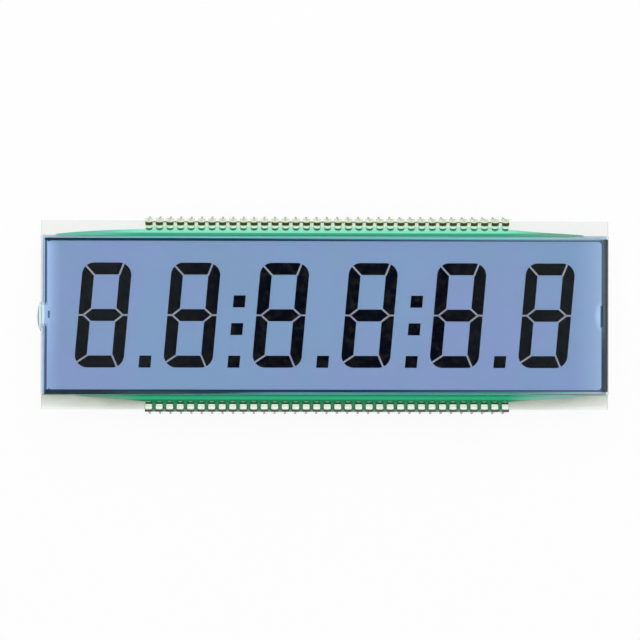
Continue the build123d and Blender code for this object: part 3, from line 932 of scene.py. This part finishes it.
topMetal = pinMetal("tinned_pin_top", topStainAndShade)
bottomMetal = pinMetal("tinned_pin_bottom", bottomStainAndShade)

onePin = makePin()
topPins = pinRow(onePin, "top_pin_row", 0)
bottomPins = pinRow(onePin, "bottom_pin_row", radians(180))
bpy.data.objects.remove(onePin)
finished(topPins, "top_pin_row", topMetal, "tinned_pins", "top_pins")
finished(bottomPins, "bottom_pin_row", bottomMetal, "tinned_pins", "bottom_pins")
print("pins made")


# green resin

resinShape = {"edgeY": 19.2, "width": 1.7, "base": 7.47, "height": 0.85, "toe": 0.25, "webWidth": 0.74,
              "besideJaw": 1.12,
              # the web's steps outwards: share of its length, and width
              "webSteps": [(0.06, 1.0), (0.24, 0.92), (0.3, 0.76), (0.3, 0.66), (0.1, 0.6)],
              # the surface's sag: share of the bead's width, and depth
              "sags": ((0.3, 0.10), (0.6, 0.13), (0.85, 0.07)),
              "wickSteps": (0.05, 0.08, 0.17, 0.25, 0.25, 0.2),
              # where its tints fade, in mm, with the share at both places
              "jawShadeFrom": (20.4, 20.55), "jawShadeHalf": (0.7, 0.85, 1, 0), "lastPins": (43.9, 44.1, 1, 0),
              "webOutY": (21.2, 21.6), "wickX": (44, 56), "wickThin": (50, 66, 1.0, 0.7)}
# the top bead's tones are paler than the bottom's, partly as painted light and shade: the top row faces the
# light, the bottom row faces away
topResin = {"name": "top_resin_bead", "node": "top_pin_resin", "turn": 0, "leftTip": -65.6,
            "rightTip": 63.1, "webEnd": 22.75, "back": (42, 170, 130), "front": (128, 234, 198),
            "web": (160, 240, 210), "webOut": (206, 255, 206), "wick": (84, 196, 168),
            "wickRight": (92, 170, 144), "lip": (92, 112, 70), "jawShadow": (58, 128, 96),
            "frontFrom": 19.8, "webFrom": 20.4, "fadeFrom": 21.15, "fadeTo": 21.6, "fadeEnd": 0.2,
            "lipFrom": 0.5, "lipClear": 0.8, "leftShares": (1.0, 0.96, 0.86, 0.72, 0.5, 0.25),
            "rightShares": (1.0, 0.93, 0.7, 0.52, 0.36, 0.2)}
bottomResin = {"name": "bottom_resin_bead", "node": "bottom_pin_resin", "turn": 180, "leftTip": -60.6,
               "rightTip": 64.1, "webEnd": 23.42, "back": (22, 154, 114), "front": (42, 196, 138),
               "web": (3, 131, 82), "webOut": (54, 132, 94), "wick": (124, 172, 150),
               "wickRight": (148, 212, 206), "lip": (140, 172, 150), "jawShadow": (8, 126, 80),
               "frontFrom": 19.5, "webFrom": 20.25, "fadeFrom": 22.8, "fadeTo": 23.42, "fadeEnd": 0.6,
               "lipFrom": 0.85, "lipClear": 0.0, "leftShares": (1.0, 0.93, 0.7, 0.52, 0.36, 0.2),
               "rightShares": (1.0, 0.93, 0.7, 0.52, 0.36, 0.2)}


def resinModule(webEnd):
    # one pitch of the bead, from one pin's middle to the next, with the web between the pins
    r = resinShape
    pitch = pinShape["pitch"]
    clearSelection()
    bpy.ops.mesh.primitive_cube_add(size=1, location=(0, (r["edgeY"] + r["width"] / 2) * mm,
                                                      (r["base"] + r["height"] / 2) * mm))
    block = bpy.context.object
    block.scale = (pitch * mm, r["width"] * mm, r["height"] * mm)
    settle(block)
    outer = r["edgeY"] + r["width"]
    top = r["base"] + r["height"]
    bpy.ops.object.mode_set(mode="EDIT")
    pickMode("FACE")
    pick("faces", lambda middle, face: near(abs(middle.x), pitch / 2))
    bpy.ops.mesh.delete(type="ONLY_FACE")
    pickMode("EDGE")
    pick("edges", lambda middle, edge: near(middle.y, outer) and near(middle.z, top))
    bpy.ops.transform.translate(value=(0, 0, (r["toe"] - r["height"]) * mm))
    for share in (0.05, *[share for share, sag in r["sags"]]):
        bpy.ops.mesh.select_all(action="SELECT")
        bpy.ops.mesh.bisect(plane_co=(0, (r["edgeY"] + r["width"] * share) * mm, 0), plane_no=(0, 1, 0))
    for x in (-r["besideJaw"] / 2, -r["webWidth"] / 4, r["webWidth"] / 4, r["besideJaw"] / 2):
        bpy.ops.mesh.select_all(action="SELECT")
        bpy.ops.mesh.bisect(plane_co=(x * mm, 0, 0), plane_no=(1, 0, 0))
    # the surface sags between the glass and the toe
    pickMode("VERT")
    for share, sag in r["sags"]:
        level = r["edgeY"] + r["width"] * share
        pick("verts", lambda place, vert: near(place.y, level) and place.z > r["base"] + 0.05)
        bpy.ops.transform.translate(value=(0, 0, -sag * mm))
    # the web runs out between the pins
    pickMode("FACE")
    pick("faces", lambda middle, face: near(middle.y, outer) and abs(middle.x) < r["besideJaw"] / 2)
    width = 1.0
    for share, narrower in r["webSteps"]:
        push((webEnd - outer) * share, 0)
        bpy.ops.transform.resize(value=(narrower / width, 1, 1), center_override=(0, 0, 0))
        width = narrower
    leaveEdit()
    return block


def resinRow(look):
    r = resinShape
    pitch = pinShape["pitch"]
    shift = pinShape["rowShift"]
    module = resinModule(look["webEnd"])
    count = pinShape["perRow"] - 1
    twins = [copyOf(module, look["name"] + "_" + str(index), shift + (index - (count - 1) / 2) * pitch)
             for index in range(count)]
    bpy.data.objects.remove(module)
    bead = joined(twins, look["name"])
    editAll()
    bpy.ops.mesh.remove_doubles(threshold=0.00002)
    leaveEdit()
    # the ends run out as wicks along the glass edge
    leftEnd = shift - (count / 2) * pitch
    rightEnd = shift + (count / 2) * pitch
    if look["turn"]:
        tips = {leftEnd: (2 * shift - look["rightTip"], look["rightShares"]),
                rightEnd: (2 * shift - look["leftTip"], look["leftShares"])}
    else:
        tips = {leftEnd: (look["leftTip"], look["leftShares"]),
                rightEnd: (look["rightTip"], look["rightShares"])}
    bpy.ops.object.mode_set(mode="EDIT")
    pickMode("EDGE")
    for end, (tip, shares) in tips.items():
        pick("edges", lambda middle, edge: near(middle.x, end) and edge.is_boundary)
        run = tip - end
        size = 1.0
        for share, step in zip(shares, r["wickSteps"]):
            push(0, 0, run * step)
            bpy.ops.transform.resize(value=(1, share / size, share / size),
                                     center_override=(0, r["edgeY"] * mm, r["base"] * mm))
            size = share
        bpy.ops.mesh.edge_face_add()
    bpy.ops.mesh.select_all(action="SELECT")
    bpy.ops.mesh.normals_make_consistent(inside=False)
    leaveEdit()
    rounding = bead.modifiers.new("flow", "SUBSURF")
    rounding.levels = 2
    rounding.render_levels = 2
    applyAll(bead)
    if look["turn"]:
        bead.rotation_euler = (0, 0, radians(180))
        bead.location = (2 * shift * mm, 0, 0)
        settle(bead)
    takeUp(bead)
    bpy.ops.object.shade_smooth()
    return bead


def resinFinish(look):
    r = resinShape
    resin = Finish(look["name"] + "_green")
    out = resin.outY
    # painted shadow where the resin meets each pin's jaw, partly thicker resin rising onto it
    aside = resin.fromNearest(resin.x, pinShape["rowShift"], pinShape["pitch"])
    curved = resin.sum("SUBTRACT", out, resin.times(aside, aside, 0.5 / mm))
    jawShade = resin.times(resin.ramp(curved, *r["jawShadeFrom"]), resin.ramp(aside, *r["jawShadeHalf"]),
                        resin.ramp(resin.away(resin.x, pinShape["rowShift"]), *r["lastPins"]))
    lip = resin.ramp(out, look["webEnd"] - look["lipFrom"], look["webEnd"] - 0.1)
    wick = resin.mix(resin.patch(x=(-1, 1)), look["wick"], look["wickRight"])
    webClear = resin.most(resin.ramp(out, look["fadeFrom"], look["fadeTo"], 0.95, look["fadeEnd"]),
                          resin.times(lip, look["lipClear"]))
    resin.set(colour=resin.layered(
        resin.mix(resin.grain(1.6, 3), look["back"], [level * 0.92 for level in look["back"]]),
        (resin.ramp(out, look["frontFrom"], look["frontFrom"] + 0.25), look["front"]),
        (resin.ramp(out, look["webFrom"], look["webFrom"] + 0.3), look["web"]),
        (resin.patch(outY=r["webOutY"]), look["webOut"]),
        (jawShade, look["jawShadow"]),
        (lip, look["lip"]),
        (resin.patch(outX=r["wickX"]), wick),
    ), alpha=resin.times(webClear, resin.patch(outX=r["wickThin"])),
        roughness=0.2, specular=0.2, coat=0.05)
    resin.bump(resin.grain(1.2, 3), 0.03, 0.5)
    return resin.material


for look in (topResin, bottomResin):
    bead = resinRow(look)
    finished(bead, look["name"], resinFinish(look), "green_resin", look["node"])
print("resin made")


print("done")
